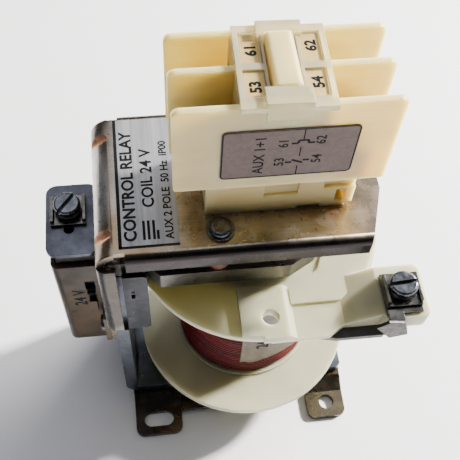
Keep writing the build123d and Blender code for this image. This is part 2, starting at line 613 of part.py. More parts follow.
# ---------------------------------------------------------------- contact block
def contact_housing():
    """Moulding with the base body, three barrier plates, terminal shelves and the contact tower."""
    y_front = BARRIER_Y[0]
    y_back = BARRIER_Y[2] + BARRIER_T
    body_y = (y_front + 1.5, y_back - 1.5)
    housing = block(BLOCK_BODY_X, body_y, (BLOCK_Z[0], BLOCK_Z[1] + 0.5))
    for y in BARRIER_Y:
        housing += barrier(y)
    cx = BLOCK_CENTRE_X
    for side in (-1, 1):
        wall_x = sorted((cx + side * TOWER_HALF_X, cx + side * (TOWER_HALF_X - WALL)))
        shelf_x = sorted((cx + side * (TOWER_HALF_X - 0.2), cx + side * 20.4))
        for y in BARRIER_Y[:2]:
            room = (y + BARRIER_T - 0.1, y + BARRIER_PITCH + 0.1)
            housing += block(wall_x, room, (BLOCK_Z[1], BARRIER_TOP_Z - 0.6))
            housing += block(shelf_x, room, (BLOCK_Z[1], CONTACT_STRIP_Z - 0.05))
            pole_y = y + POLE_OFFSET_Y
            housing -= block(sorted((cx + side * 2, cx + side * 11)), (pole_y - 2.7, pole_y + 2.7),
                             (CONTACT_STRIP_Z - 6.2, CONTACT_STRIP_Z + 8.2))
            housing -= post(cx + side * CONTACT_SCREW_X, pole_y, (112.5, 130), 1.95)
    passage_x = (cx - TRAVERSE_HALF_X - 0.3, cx + TRAVERSE_HALF_X + 0.3)
    housing -= block(passage_x, (y_front + BARRIER_T, y_back - BARRIER_T), (BLOCK_Z[1], 150))
    housing -= post(cx, POLE_MID_Y, (90, BLOCK_Z[1] - 1.4), 5.0)
    housing -= post(cx, POLE_MID_Y, (90, 120), STEM_R + 0.15)
    for x in BLOCK_SCREW_X:
        housing -= post(x, POLE_MID_Y, (90, BLOCK_Z[1] - 2.0), 1.5)
    return housing - housing_notches(body_y[0])


def barrier(y):
    """One barrier plate with rounded corners."""
    plate = block(BLOCK_X, (y, y + BARRIER_T), (BLOCK_Z[1], BARRIER_TOP_Z))
    top = [e for e in plate.edges().filter_by(Axis.Y) if e.center().Z > BARRIER_TOP_Z - 0.1]
    plate = fillet(top, 1.8)
    low = [e for e in plate.edges().filter_by(Axis.Y) if e.center().Z < BLOCK_Z[1] + 0.1]
    return fillet(low, 0.9)


def housing_notches(front_y):
    """Recesses in the front of the base body and the window of its right foot."""
    z0 = BLOCK_Z[0]
    notch = block((-1.6, 6.4), (front_y - 1, front_y + 0.7), (z0 + 5.8, z0 + 10.6))
    seam = block((6.4, 12.2), (front_y - 1, front_y + 0.5), (z0 - 1, z0 + 1.3))
    window = block((15.4, 17.6), (front_y - 1, front_y + 4.4), (z0 + 2.2, z0 + 6.6))
    step = block((12.2, BLOCK_BODY_X[1] + 1), (front_y - 1, front_y + 0.8), (z0 + 7.4, z0 + 11.4))
    corner = block((BLOCK_BODY_X[1] - 1.6, BLOCK_BODY_X[1] + 1), (front_y - 1, 30), (z0 - 1, z0 + 1.2))
    return notch + seam + window + step + corner


def block_screw(x):
    """Screw through the top plate into the housing, with its head below the plate."""
    low = BRACKET_TOP_Z - BRACKET_T
    head = fillet(post(x, POLE_MID_Y, (low - 2.0, low - 0.02), 2.8).edges().group_by(Axis.Z)[0], 0.6)
    shank = post(x, POLE_MID_Y, (low - 0.1, BLOCK_Z[1] - 3.0), 1.45)
    slot = Pos(x, POLE_MID_Y, low - 2.0) * Box(8, 0.9, 1.6)
    return head + shank - slot


def on_tower(shape):
    """Turn a clip-on piece to the slightly crooked seat of the marker frame."""
    middle = Pos(BLOCK_CENTRE_X, (FRAME_Y[0] + FRAME_Y[1]) / 2, 0)
    return middle * Rot(0, 0, FRAME_TURN) * middle.inverse() * shape


def marker_frame():
    """Clear clip-on frame over the contact tower: four windows, a slot for the bar and two raised pads."""
    cx = BLOCK_CENTRE_X
    y0, y1 = FRAME_Y
    z = (BARRIER_TOP_Z + 0.05, BARRIER_TOP_Z + FRAME_T)
    frame = block((cx - TOWER_HALF_X, cx + TOWER_HALF_X), FRAME_Y, z)
    frame -= block((cx - BAR_HALF_X - 0.35, cx + BAR_HALF_X + 0.35), (BAR_Y[0] - 0.3, BAR_Y[1] + 0.3),
                   (z[0] - 1, z[1] + 1))
    for window_x in CARD_X:
        for window_y in CARD_Y:
            frame -= block(window_x, window_y, (z[0] + 0.55, z[1] + 1))
    for pad_y in ((y0, BAR_Y[0] - 0.3), (BAR_Y[1] + 0.3, y1)):
        frame += block((cx - TRAVERSE_HALF_X, cx + TRAVERSE_HALF_X), pad_y, (z[1] - 0.5, z[1] + 1.2))
    clip = block((cx - 4.4, cx + 5.0), (y0, y0 + 1.0), (z[0] - 2.6, z[1]))
    return on_tower(frame + clip)


def marker_cards():
    """Four number cards lying in the windows of the marker frame."""
    z = (BARRIER_TOP_Z + 0.62, BARRIER_TOP_Z + 0.9)
    gap = 0.15
    return [on_tower(block((x0 + gap, x1 - gap), (y0 + gap, y1 - gap), z))
            for x0, x1 in CARD_X for y0, y1 in CARD_Y]


def contact_sticker():
    y = BARRIER_Y[0]
    slab = block((-12.4, 16.4), (y - 0.22, y - 0.02), (114.6, 130.4))
    return fillet(slab.edges().filter_by(Axis.Y), 1.2)


# ---------------------------------------------------------------- contacts
def fixed_contact(side, pole):
    """Fixed contact strip from the screw shelf into the tower, with its silver tip."""
    cx = BLOCK_CENTRE_X
    y = POLE_Y[pole]
    x = sorted((cx + side * 20.0, cx + side * (CONTACT_TIP_X - 1.9)))
    z = (CONTACT_STRIP_Z, CONTACT_STRIP_Z + CONTACT_STRIP_T)
    strip = block(x, (y - 2.6, y + 2.6), z)
    strip -= post(cx + side * CONTACT_SCREW_X, y, (z[0] - 1, z[1] + 1), 1.8)
    tip_z = (z[1] - 0.1, z[1] + CONTACT_TIP_H) if pole == 0 else (z[0] - CONTACT_TIP_H, z[0] + 0.1)
    return strip + post(cx + side * CONTACT_TIP_X, y, tip_z, CONTACT_TIP_R)


def contact_bridge(pole):
    """Moving bridge across the traverse, with a silver tip at each end."""
    cx = BLOCK_CENTRE_X
    y = POLE_Y[pole]
    z0 = NO_BRIDGE_Z if pole == 0 else NC_BRIDGE_Z
    reach = CONTACT_TIP_X + 1.4
    bridge = block((cx - reach, cx + reach), (y - 1.9, y + 1.9), (z0, z0 + BRIDGE_T))
    for side in (-1, 1):
        tip_z = (z0 - CONTACT_TIP_H, z0 + 0.1) if pole == 0 else (z0 + 0.9, z0 + BRIDGE_T + CONTACT_TIP_H)
        bridge += post(cx + side * CONTACT_TIP_X, y, tip_z, CONTACT_TIP_R)
    return bridge


def bridge_spring(pole):
    cx = BLOCK_CENTRE_X
    if pole == 0:
        z = (NO_BRIDGE_Z + BRIDGE_T + 0.02, NO_BRIDGE_Z + BRIDGE_T + 5.0)
    else:
        z = (NC_BRIDGE_Z - 4.3, NC_BRIDGE_Z - 0.02)
    return coil_spring(cx, POLE_Y[pole], z, 1.35, 0.25, 5)


def contact_clamp(side, pole):
    x = BLOCK_CENTRE_X + side * CONTACT_SCREW_X
    y = POLE_Y[pole]
    z = CONTACT_STRIP_Z + CONTACT_STRIP_T
    plate = block((x - 3.0, x + 3.0), (y - 2.9, y + 2.9), (z + 0.03, z + 0.9))
    return plate - post(x, y, (z - 1, z + 2), 1.9)


def contact_screw(side, pole):
    x = BLOCK_CENTRE_X + side * CONTACT_SCREW_X
    seat = CONTACT_STRIP_Z + CONTACT_STRIP_T + 0.92
    return slotted_screw(x, POLE_Y[pole], seat, 8.0, 1.75, 2.9, 2.2, 20.0)


def traverse():
    """Slider that carries both bridges in windows, with a narrow bar on top."""
    cx = BLOCK_CENTRE_X
    y = (BARRIER_Y[0] + BARRIER_T + 0.4, BARRIER_Y[2] - 0.4)
    z0, z1 = TRAVERSE_Z
    body = block((cx - TRAVERSE_HALF_X, cx + TRAVERSE_HALF_X), y, (z0, BARRIER_TOP_Z - 0.5))
    bar = block((cx - BAR_HALF_X, cx + BAR_HALF_X), BAR_Y, (BARRIER_TOP_Z - 0.6, z1))
    body += fillet([e for e in bar.edges().filter_by(Axis.Y) if e.center().Z > z1 - 0.1], 1.2)
    for pole, window_z in ((0, (NO_BRIDGE_Z - 0.05, NO_BRIDGE_Z + BRIDGE_T + 5.05)),
                           (1, (NC_BRIDGE_Z - 4.35, NC_BRIDGE_Z + BRIDGE_T + 0.05))):
        body -= block((cx - 9, cx + 9), (POLE_Y[pole] - 2.1, POLE_Y[pole] + 2.1), window_z)
    return body - post(cx, POLE_MID_Y, (100, z0 + 5.0), STEM_R + 0.02)


def traverse_stem():
    """Steel pushrod from the slider down to the armature, with the collar of its spring."""
    cx = BLOCK_CENTRE_X
    stem = post(cx, POLE_MID_Y, (ARMATURE_TOP_Z + 2.6, TRAVERSE_Z[0] + 5.0), STEM_R)
    foot_r = 2.6
    foot_ball = Pos(cx, POLE_MID_Y, ARMATURE_TOP_Z + 0.15 + foot_r) * Sphere(foot_r)
    collar = post(cx, POLE_MID_Y, (102.4, 103.8), 4.3)
    return stem + foot_ball + collar


def traverse_spring():
    return coil_spring(BLOCK_CENTRE_X, POLE_MID_Y, (103.85, BLOCK_Z[1] - 1.45), 3.3, 0.35, 3.5)


# ---------------------------------------------------------------- the assembly
keep("mounting_plate", mounting_plate())
keep("yoke", yoke())
keep("hinge_cheeks", *[hinge_cheek(side) for side in (-1, 1)])
keep("core", core())
keep("core_screw", core_screw())
keep("coil_spacer", coil_spacer())
keep("bobbin", bobbin())
keep("winding", winding())
keep("winding_label", winding_label())
keep("right_coil_lead", right_lead())
keep("left_coil_lead", left_lead())
keep("lead_lug", lead_lug())
keep("right_terminal_strip", right_terminal_strip())
keep("left_terminal_plate", left_terminal_plate())
keep("terminal_insulator", terminal_insulator())
keep("terminal_screws", *[slotted_screw(x, y, z + 2.02, 10.0, TERMINAL_SCREW_R, TERMINAL_HEAD_R,
                                        TERMINAL_HEAD_H, turn) for x, y, z, turn in terminal_seats()])
keep("terminal_spring_washers", *[spring_washer(x, y, z) for x, y, z, _ in terminal_seats()])
keep("terminal_saddle_washers", *[saddle_washer(x, y, z) for x, y, z, _ in terminal_seats()])
keep("right_terminal_nut", terminal_nut(RIGHT_TERMINAL[0], RIGHT_TERMINAL[1], PAD_Z[0]))
keep("top_bracket", top_bracket())
keep("armature_stops", *[armature_stop(side) for side in (-1, 1)])
keep("stop_rivets", *[stop_rivet(side) for side in (-1, 1)])
keep("nameplate", nameplate())
keep("terminal_channel", terminal_channel())
keep("channel_rivets", *[channel_rivet(place) for place in RIVET_PLACES])
keep("armature", armature())
keep("armature_shim", armature_shim())
keep("armature_leaf", armature_leaf())
keep("leaf_rivets", *[leaf_rivet(side) for side in (-1, 1)])
keep("return_spring", return_spring())
keep("contact_housing", contact_housing())
keep("block_screws", *[block_screw(x) for x in BLOCK_SCREW_X])
keep("marker_frame", marker_frame())
keep("marker_cards", *marker_cards())
keep("contact_sticker", contact_sticker())
for pole, kind in enumerate(("closing", "opening")):
    keep(f"fixed_contacts_{kind}", *[fixed_contact(side, pole) for side in (-1, 1)])
    keep(f"contact_bridge_{kind}", contact_bridge(pole))
    keep(f"bridge_spring_{kind}", bridge_spring(pole))
keep("contact_clamps", *[contact_clamp(side, pole) for side in (-1, 1) for pole in (0, 1)])
keep("contact_screws", *[contact_screw(side, pole) for side in (-1, 1) for pole in (0, 1)])
keep("traverse", traverse())
keep("traverse_stem", traverse_stem())
keep("traverse_spring", traverse_spring())

os.makedirs("parts", exist_ok=True)
for name, shape in PARTS.items():
    export_step(shape, f"parts/{name}.step")
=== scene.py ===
"""Looks of the industrial control relay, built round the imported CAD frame. Metres throughout."""
from math import cos, pi, radians, sin

import bpy
from mathutils import Matrix, Vector


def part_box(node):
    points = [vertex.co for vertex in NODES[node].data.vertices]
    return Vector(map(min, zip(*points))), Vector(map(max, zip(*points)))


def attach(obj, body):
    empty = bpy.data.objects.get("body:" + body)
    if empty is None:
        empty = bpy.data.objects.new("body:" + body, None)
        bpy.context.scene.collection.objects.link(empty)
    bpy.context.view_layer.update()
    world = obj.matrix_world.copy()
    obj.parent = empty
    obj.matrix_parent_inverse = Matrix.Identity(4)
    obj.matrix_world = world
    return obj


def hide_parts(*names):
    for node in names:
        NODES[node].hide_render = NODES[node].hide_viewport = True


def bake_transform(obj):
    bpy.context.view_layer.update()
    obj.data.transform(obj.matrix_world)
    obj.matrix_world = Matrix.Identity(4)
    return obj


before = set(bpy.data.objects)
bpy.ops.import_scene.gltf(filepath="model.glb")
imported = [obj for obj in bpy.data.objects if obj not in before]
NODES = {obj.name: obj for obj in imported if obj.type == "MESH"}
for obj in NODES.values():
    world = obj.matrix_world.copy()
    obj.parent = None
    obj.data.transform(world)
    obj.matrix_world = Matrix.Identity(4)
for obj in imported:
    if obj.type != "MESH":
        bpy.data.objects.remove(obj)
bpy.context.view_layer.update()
MM = 0.001


# ---------------------------------------------------------------- node helpers
def srgb(red, green, blue):
    """Linear colour of an 8-bit display colour."""
    def linear(value):
        value /= 255.0
        return value / 12.92 if value <= 0.04045 else ((value + 0.055) / 1.055) ** 2.4
    return (linear(red), linear(green), linear(blue), 1.0)


class Surface:
    """A procedural material: a Principled shader fed by object-space textures."""

    def __init__(self, name, **constants):
        self.material = bpy.data.materials.new(name)
        self.material.use_nodes = True
        self.tree = self.material.node_tree
        self.shader = self.tree.nodes["Principled BSDF"]
        self.position = self.tree.nodes.new("ShaderNodeTexCoord").outputs["Object"]
        self.height = None
        for socket, value in constants.items():
            self.shader.inputs[socket.replace("_", " ")].default_value = value

    def node(self, kind, **settings):
        made = self.tree.nodes.new(kind)
        for key, value in settings.items():
            if key in made.inputs.keys():
                made.inputs[key].default_value = value
            else:
                setattr(made, key, value)
        return made

    def link(self, source, target):
        self.tree.links.new(source, target)
        return target

    def stretched(self, scale, turn=(0.0, 0.0, 0.0)):
        """Object coordinates scaled by scale=(x, y, z), in repeats per metre."""
        mapping = self.node("ShaderNodeMapping")
        mapping.inputs["Scale"].default_value = scale
        mapping.inputs["Rotation"].default_value = turn
        self.link(self.position, mapping.inputs["Vector"])
        return mapping.outputs["Vector"]

    def noise(self, scale, detail=3.0, roughness=0.55, distortion=0.0):
        scale = scale if isinstance(scale, tuple) else (scale, scale, scale)
        texture = self.node("ShaderNodeTexNoise")
        texture.inputs["Scale"].default_value = 1.0
        texture.inputs["Detail"].default_value = detail
        texture.inputs["Roughness"].default_value = roughness
        texture.inputs["Distortion"].default_value = distortion
        self.link(self.stretched(scale), texture.inputs["Vector"])
        return texture.outputs["Fac"]

    def ramp(self, factor, *stops):
        """Colour ramp with stops (position, colour)."""
        made = self.node("ShaderNodeValToRGB")
        elements = made.color_ramp.elements
        while len(elements) < len(stops):
            elements.new(0.5)
        for element, (place, colour) in zip(elements, stops):
            element.position = place
            element.color = colour
        self.link(factor, made.inputs["Fac"])
        return made.outputs["Color"]

    def span(self, factor, low, high, start=0.3, end=0.7):
        """Map a texture's start..end onto low..high."""
        made = self.node("ShaderNodeMapRange")
        for key, value in (("From Min", start), ("From Max", end), ("To Min", low), ("To Max", high)):
            made.inputs[key].default_value = value
        self.link(factor, made.inputs["Value"])
        return made.outputs["Result"]

    def near(self, place, size):
        """1 inside an ellipsoid of half sizes size round a place, fading to 0 at its skin."""
        mapping = self.node("ShaderNodeMapping")
        mapping.inputs["Scale"].default_value = [1 / half for half in size]
        mapping.inputs["Location"].default_value = [-at / half for at, half in zip(place, size)]
        self.link(self.position, mapping.inputs["Vector"])
        length = self.node("ShaderNodeVectorMath", operation="LENGTH")
        self.link(mapping.outputs["Vector"], length.inputs[0])
        return self.span(length.outputs["Value"], 1.0, 0.0, 0.7, 1.05)

    def mix(self, factor, first, second, mode="MIX"):
        made = self.node("ShaderNodeMix", data_type="RGBA", blend_type=mode)
        for index, value in ((0, factor), (6, first), (7, second)):
            if hasattr(value, "links"):
                self.link(value, made.inputs[index])
            else:
                made.inputs[index].default_value = value
        return made.outputs[2]

    def colour(self, source):
        self.link(source, self.shader.inputs["Base Color"])
        return self

    def rough(self, source):
        self.link(source, self.shader.inputs["Roughness"])
        return self

    def bump(self, source, distance, strength=1.0):
        """Add a bump layer; distance is the height in metres."""
        made = self.node("ShaderNodeBump")
        made.inputs["Distance"].default_value = distance
        made.inputs["Strength"].default_value = strength
        self.link(source, made.inputs["Height"])
        if self.height is not None:
            self.link(self.height, made.inputs["Normal"])
        self.height = made.outputs["Normal"]
        self.link(self.height, self.shader.inputs["Normal"])
        return self


# ---------------------------------------------------------------- materials
ROLLING_GRAIN = (60, 2600, 2600)


def plated_sheet(name, dark, light, rough=(0.2, 0.36), marks=()):
    """Plated steel sheet: rolling grain, cloudy patches, brown patches of painted reflection, pits, and marks
    of tint, painted shade and painted highlight.

    A mark is (place, half sizes, colour), with the first two in metres.
    """
    s = Surface(name, Metallic=1.0)
    clouds = s.noise(70, 4.0, 0.6)
    lines = s.noise(ROLLING_GRAIN, 2.0, 0.7)
    pits = s.noise(900, 1.0)
    tint = s.ramp(clouds, (0.32, dark), (0.68, light))
    # Brown cloudy patches: a painted warm reflection of the yellow housing.
    tint = s.mix(s.span(s.noise(28, 3.0), 0.0, 0.45, 0.45, 0.62), tint, srgb(150, 122, 82))
    streaks = s.mix(s.span(lines, 0.0, 0.28), tint, srgb(84, 80, 76))
    colour = s.mix(s.span(pits, 0.0, 0.65, 0.72, 0.8), streaks, srgb(62, 56, 52))
    # Each mark paints a colour over an ellipsoid; the callers use marks for painted shade, painted highlights
    # and copper tints.
    for place, size, shade in marks:
        colour = s.mix(s.near(place, size), colour, shade)
    s.colour(colour)
    s.rough(s.span(s.noise(240, 3.0), rough[0], rough[1]))
    s.bump(lines, 0.000012, 0.5).bump(clouds, 0.00012, 0.25)
    return s.material


def zinc_casting(name, dark, light, rough=(0.26, 0.46)):
    """Thick zinc-plated steel with a matt crystalline look."""
    s = Surface(name, Metallic=1.0)
    clouds = s.noise(120, 5.0, 0.65)
    s.colour(s.ramp(clouds, (0.3, dark), (0.7, light)))
    s.rough(s.span(s.noise(420, 3.0), rough[0], rough[1]))
    s.bump(s.noise(1500, 2.0), 0.00002, 0.45)
    return s.material


def moulded(name, deep, pale, radius, scatter):
    """Translucent moulded polyamide: milky depth, faint flow marks, fine spark-erosion texture."""
    s = Surface(name, Subsurface_Weight=1.0, Subsurface_Radius=radius, IOR=1.53, Transmission_Weight=0.05)
    s.shader.inputs["Subsurface Scale"].default_value = scatter
    s.shader.inputs["Subsurface Anisotropy"].default_value = 0.3
    flow = s.noise((38, 38, 90), 3.0, 0.55, 0.6)
    s.colour(s.ramp(flow, (0.28, deep), (0.72, pale)))
    s.rough(s.span(s.noise(300, 2.0), 0.3, 0.42))
    s.bump(s.noise(2600, 1.0), 0.000008, 0.5).bump(flow, 0.00015, 0.25)
    return s.material


def clear_plastic():
    """Clear, slightly milky and yellowed plastic."""
    s = Surface("clear_plastic", IOR=1.45, Transmission_Weight=0.7, Subsurface_Weight=0.35,
                Subsurface_Radius=(0.9, 0.8, 0.5))
    s.shader.inputs["Subsurface Scale"].default_value = 0.004
    s.colour(s.ramp(s.noise(160, 2.0), (0.3, srgb(246, 234, 190)), (0.7, srgb(254, 248, 214))))
    s.rough(s.span(s.noise(400, 2.0), 0.08, 0.2))
    s.bump(s.noise(500, 2.0), 0.00003, 0.3)
    return s.material


def wire_enamel():
    """Dark red enamel, lighter and warmer where the copper shows through."""
    s = Surface("wire_enamel", Coat_Weight=0.06, Coat_Roughness=0.2)
    s.shader.inputs["Specular IOR Level"].default_value = 0.12
    s.colour(s.ramp(s.noise((30, 30, 400), 3.0), (0.3, srgb(60, 5, 9)), (0.6, srgb(98, 10, 17)),
                    (0.85, srgb(122, 30, 26))))
    s.rough(s.span(s.noise(600, 2.0), 0.28, 0.45))
    s.bump(s.noise(900, 2.0), 0.00002, 0.4)
    return s.material


def paper(name, dark, light):
    """Silvery paper with fine fibre and slight creases."""
    fibre = 1400
    s = Surface(name, Metallic=0.35)
    s.colour(s.ramp(s.noise(150, 5.0, 0.7), (0.3, dark), (0.7, light)))
    s.rough(s.span(s.noise(fibre, 3.0), 0.42, 0.62))
    s.bump(s.noise(fibre, 3.0), 0.00003, 0.6).bump(s.noise((60, 60, 800), 2.0), 0.0001, 0.5)
    return s.material


def label_film(name, dark, light, metallic=0.4, coat=0.5, specular=0.5):
    """Printed label film with faint drawn lines."""
    s = Surface(name, Metallic=metallic, Coat_Weight=coat, Coat_Roughness=0.25)
    s.shader.inputs["Specular IOR Level"].default_value = specular
    s.colour(s.ramp(s.noise((900, 30, 900), 2.0), (0.3, dark), (0.7, light)))
    s.rough(s.span(s.noise(500, 2.0), 0.32, 0.46))
    s.bump(s.noise(260, 3.0), 0.00003, 0.3)
    return s.material


def ink():
    """Dull black printing ink."""
    s = Surface("ink")
    s.shader.inputs["Specular IOR Level"].default_value = 0.12
    s.colour(s.ramp(s.noise(1800, 3.0), (0.3, srgb(6, 6, 8)), (0.8, srgb(22, 22, 24))))
    s.rough(s.span(s.noise(900, 2.0), 0.5, 0.7))
    return s.material


def rubbery(name, dark, light):
    """Dull rubber, fibre or phenolic."""
    s = Surface(name)
    s.colour(s.ramp(s.noise(300, 4.0), (0.3, dark), (0.7, light)))
    s.rough(s.span(s.noise(700, 2.0), 0.35, 0.6))
    s.bump(s.noise(1100, 2.0), 0.00004, 0.5)
    return s.material


def bright_metal(name, dark, light, rough=(0.16, 0.34)):
    """Small turned and plated hardware, cloudy and finely marked."""
    s = Surface(name, Metallic=1.0)
    clouds = s.noise(330, 4.0, 0.6)
    s.colour(s.ramp(clouds, (0.3, dark), (0.7, light)))
    s.rough(s.span(s.noise(800, 3.0), rough[0], rough[1]))
    s.bump(s.noise(2400, 2.0), 0.00001, 0.5)
    return s.material


# The mounting plate's dark tones are painted shade, and the lighter mark on its right foot is painted light.
SHEET = plated_sheet("plated_sheet", srgb(32, 28, 25), srgb(58, 53, 47),
                     marks=[((0.0256, -0.0266, 0.001), (0.012, 0.012, 0.006), srgb(98, 90, 74))])
# Painted shade along the bracket's front flange and down the front of its left leg, and a painted highlight
# along the left bend.
BRACKET_PAINTED_SHADE_AND_HIGHLIGHT = [((-0.0040, -0.0216, 0.0950), (0.0900, 0.0026, 0.0052), srgb(42, 38, 38)),
                 ((-0.0390, -0.0216, 0.0780), (0.0060, 0.0030, 0.0190), srgb(68, 63, 59)),
                 ((-0.0400, 0.0, 0.0965), (0.0036, 0.0150, 0.0040), srgb(196, 192, 186))]
COPPER_DARTS = [((-0.0390, side * 0.0141, 0.0964), (0.0034, 0.0020, 0.0034), srgb(206, 150, 118))
                for side in (-1, 1)]
BRACKET = plated_sheet("bracket_sheet", srgb(112, 104, 94), srgb(176, 168, 156),
                       marks=BRACKET_PAINTED_SHADE_AND_HIGHLIGHT + COPPER_DARTS)
CHANNEL = plated_sheet("channel_sheet", srgb(56, 51, 46), srgb(90, 83, 76), (0.26, 0.42))
BLUE_ZINC = zinc_casting("blue_zinc", srgb(68, 72, 80), srgb(102, 107, 117))
DARK_ZINC = zinc_casting("dark_zinc", srgb(32, 34, 38), srgb(54, 56, 62))
PLATE_ZINC = zinc_casting("plate_zinc", srgb(56, 58, 65), srgb(92, 95, 105))
IRON = zinc_casting("plated_iron", srgb(66, 64, 60), srgb(104, 102, 98))
BOBBIN = moulded("bobbin_polyamide", srgb(166, 164, 138), srgb(188, 186, 158), (1.0, 0.95, 0.75), 0.005)
HOUSING = moulded("housing_polyamide", srgb(204, 182, 124), srgb(222, 205, 150), (1.0, 0.84, 0.52), 0.006)
CLEAR = clear_plastic()
ENAMEL = wire_enamel()
PAPER = paper("winding_paper", srgb(78, 69, 61), srgb(124, 113, 102))
SLEEVE = rubbery("black_sleeve", srgb(10, 10, 11), srgb(30, 29, 30))
PHENOLIC = rubbery("phenolic", srgb(22, 16, 12), srgb(48, 36, 28))
FIBRE = rubbery("fibre", srgb(92, 58, 38), srgb(128, 88, 60))
SCREW = bright_metal("screw_zinc", srgb(64, 67, 73), srgb(112, 116, 122))
CLAMP = bright_metal("clamp_zinc", srgb(62, 62, 62), srgb(118, 116, 110), (0.12, 0.28))
BRASS = bright_metal("brass", srgb(176, 140, 70), srgb(222, 190, 112))
SPRING = bright_metal("spring_wire", srgb(96, 93, 88), srgb(150, 146, 140))
NAMEPLATE = label_film("nameplate_film", srgb(122, 123, 126), srgb(152, 154, 158))
MAUVE = label_film("diagram_film", srgb(96, 82, 79), srgb(107, 92, 88), 0.0, 0.0, 0.15)
CARD = paper("number_card", srgb(178, 150, 92), srgb(198, 172, 114))
INK = ink()

MATERIAL_OF = {
    "mounting_plate": SHEET, "yoke": BLUE_ZINC, "core": IRON, "core_screw": SCREW, "coil_spacer": FIBRE,
    "bobbin": BOBBIN, "right_coil_lead": SLEEVE, "left_coil_lead": SLEEVE, "lead_lug": SLEEVE,
    "right_terminal_strip": CLAMP, "left_terminal_plate": PLATE_ZINC, "terminal_insulator": PHENOLIC,
    "terminal_screws": SCREW, "terminal_spring_washers": SCREW, "terminal_saddle_washers": CLAMP,
    "right_terminal_nut": SCREW, "top_bracket": BRACKET, "hinge_cheeks": DARK_ZINC, "armature_stops": FIBRE,
    "stop_rivets": SCREW, "nameplate": NAMEPLATE, "terminal_channel": CHANNEL, "channel_rivets": SCREW,
    "armature": IRON,
    "armature_shim": BRASS, "armature_leaf": SPRING, "leaf_rivets": SCREW, "contact_housing": HOUSING,
    "block_screws": SCREW, "marker_frame": CLEAR, "marker_cards": CARD, "contact_sticker": MAUVE,
    "fixed_contacts_closing": BRASS, "fixed_contacts_opening": BRASS, "contact_bridge_closing": BRASS,
    "contact_bridge_opening": BRASS, "bridge_spring_closing": SPRING, "bridge_spring_opening": SPRING,
    "contact_clamps": CLAMP, "contact_screws": SCREW, "traverse": HOUSING, "traverse_stem": SCREW,
}


def dress(node, material):
    """Give a CAD node its material in every slot."""
    mesh = NODES[node].data
    if not mesh.materials:
        mesh.materials.append(material)
    for index in range(len(mesh.materials)):
        mesh.materials[index] = material


EDGE_RADIUS = {
    "mounting_plate": 0.25, "yoke": 0.4, "bobbin": 0.25, "top_bracket": 0.22, "terminal_channel": 0.2,
    "armature": 0.45, "contact_housing": 0.2, "left_terminal_plate": 0.25, "terminal_saddle_washers": 0.15,
    "terminal_screws": 0.12, "right_terminal_strip": 0.15, "marker_frame": 0.12, "lead_lug": 0.2,
    "terminal_insulator": 0.3,
}


def soften(node, radius_mm):
    """Break the sharp edges of a CAD node, as pressing, plating and moulding leave them."""
    obj = NODES[node]
    weld = obj.modifiers.new("weld", "WELD")
    weld.merge_threshold = 1e-6
    flat = obj.modifiers.new("flat", "DECIMATE")
    flat.decimate_type = "DISSOLVE"
    flat.angle_limit = radians(1.0)
    bevel = obj.modifiers.new("bevel", "BEVEL")
    bevel.width = radius_mm * MM
    bevel.segments = 2
    bevel.limit_method = "ANGLE"
    bevel.angle_limit = radians(32)
    bevel.harden_normals = True
    bevel.use_clamp_overlap = True


# ---------------------------------------------------------------- mesh helpers
def mesh_object(name, verts, faces, material, smooth=True):
    """Object made of one material from points and faces."""
    mesh = bpy.data.meshes.new(name)
    mesh.from_pydata(verts, [], faces)
    mesh.polygons.foreach_set("use_smooth", [smooth] * len(faces))
    mesh.materials.append(material)
    obj = bpy.data.objects.new(name, mesh)
    bpy.context.scene.collection.objects.link(obj)
    return obj


def tube(name, points, radius, material):
    """Round wire along a list of close points."""
    curve = bpy.data.curves.new(name, "CURVE")
    curve.dimensions = "3D"
    curve.bevel_depth = radius
    curve.bevel_resolution = 1
    curve.use_fill_caps = True
    line = curve.splines.new("POLY")
    line.points.add(len(points) - 1)
    for point, place in zip(line.points, points):
        point.co = (*place, 1.0)
    return as_mesh(name, curve, material)


def as_mesh(name, curve, material, place=Matrix.Identity(4)):
    """Turn curve data into a mesh object at a place."""
    carrier = bpy.data.objects.new(name + "_curve", curve)
    mesh = bpy.data.meshes.new_from_object(carrier)
    bpy.data.objects.remove(carrier)
    mesh.name = name
    mesh.transform(place)
    mesh.materials.clear()
    mesh.materials.append(material)
    obj = bpy.data.objects.new(name, mesh)
    bpy.context.scene.collection.objects.link(obj)
    return obj


def join(name, objects):
    """Join several mesh objects into one piece."""
    target = objects[0]
    with bpy.context.temp_override(active_object=target, object=target, selected_objects=objects,
                                   selected_editable_objects=objects):
        bpy.ops.object.join()
    target.name = name
    return target


def print_text(name, text, size_mm, place, align="CENTER", bold=0.0):
    """Flat printed characters; place maps the text plane (x right, y up) into the frame."""
    data = bpy.data.curves.new(name, "FONT")
    data.body = text
    data.size = size_mm * MM
    data.align_x = align
    data.align_y = "CENTER"
    data.offset = bold * MM
    data.resolution_u = 3
    return as_mesh(name, data, INK, place)


def plane_matrix(origin, right, up):
    """Matrix whose x axis is right, y axis is up, at an origin."""
    right, up = Vector(right).normalized(), Vector(up).normalized()
    out = right.cross(up)
    return Matrix(((right.x, up.x, out.x, origin[0]), (right.y, up.y, out.y, origin[1]),
                   (right.z, up.z, out.z, origin[2]), (0, 0, 0, 1)))


def flat_bar(name, start, end, width_mm, place):
    """Printed straight line from start to end, given in millimetres in the text plane."""
    a, b = Vector((*start, 0)) * MM, Vector((*end, 0)) * MM
    side = (b - a).normalized().cross(Vector((0, 0, 1))) * width_mm * MM / 2
    verts = [place @ v for v in (a - side, a + side, b + side, b - side)]
    return mesh_object(name, verts, [(0, 1, 2, 3)], INK, False)


# ---------------------------------------------------------------- coil
WIRE_PITCH = 1.25 * MM
GROOVE_DEPTH = 0.5 * MM
WIRE_BULGE = 0.45 * MM
WIRE_WOBBLE = 0.06 * MM


def winding_radius():
    """Outer radius of the CAD winding."""
    low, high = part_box("winding")
    return (high.x - low.x) / 2


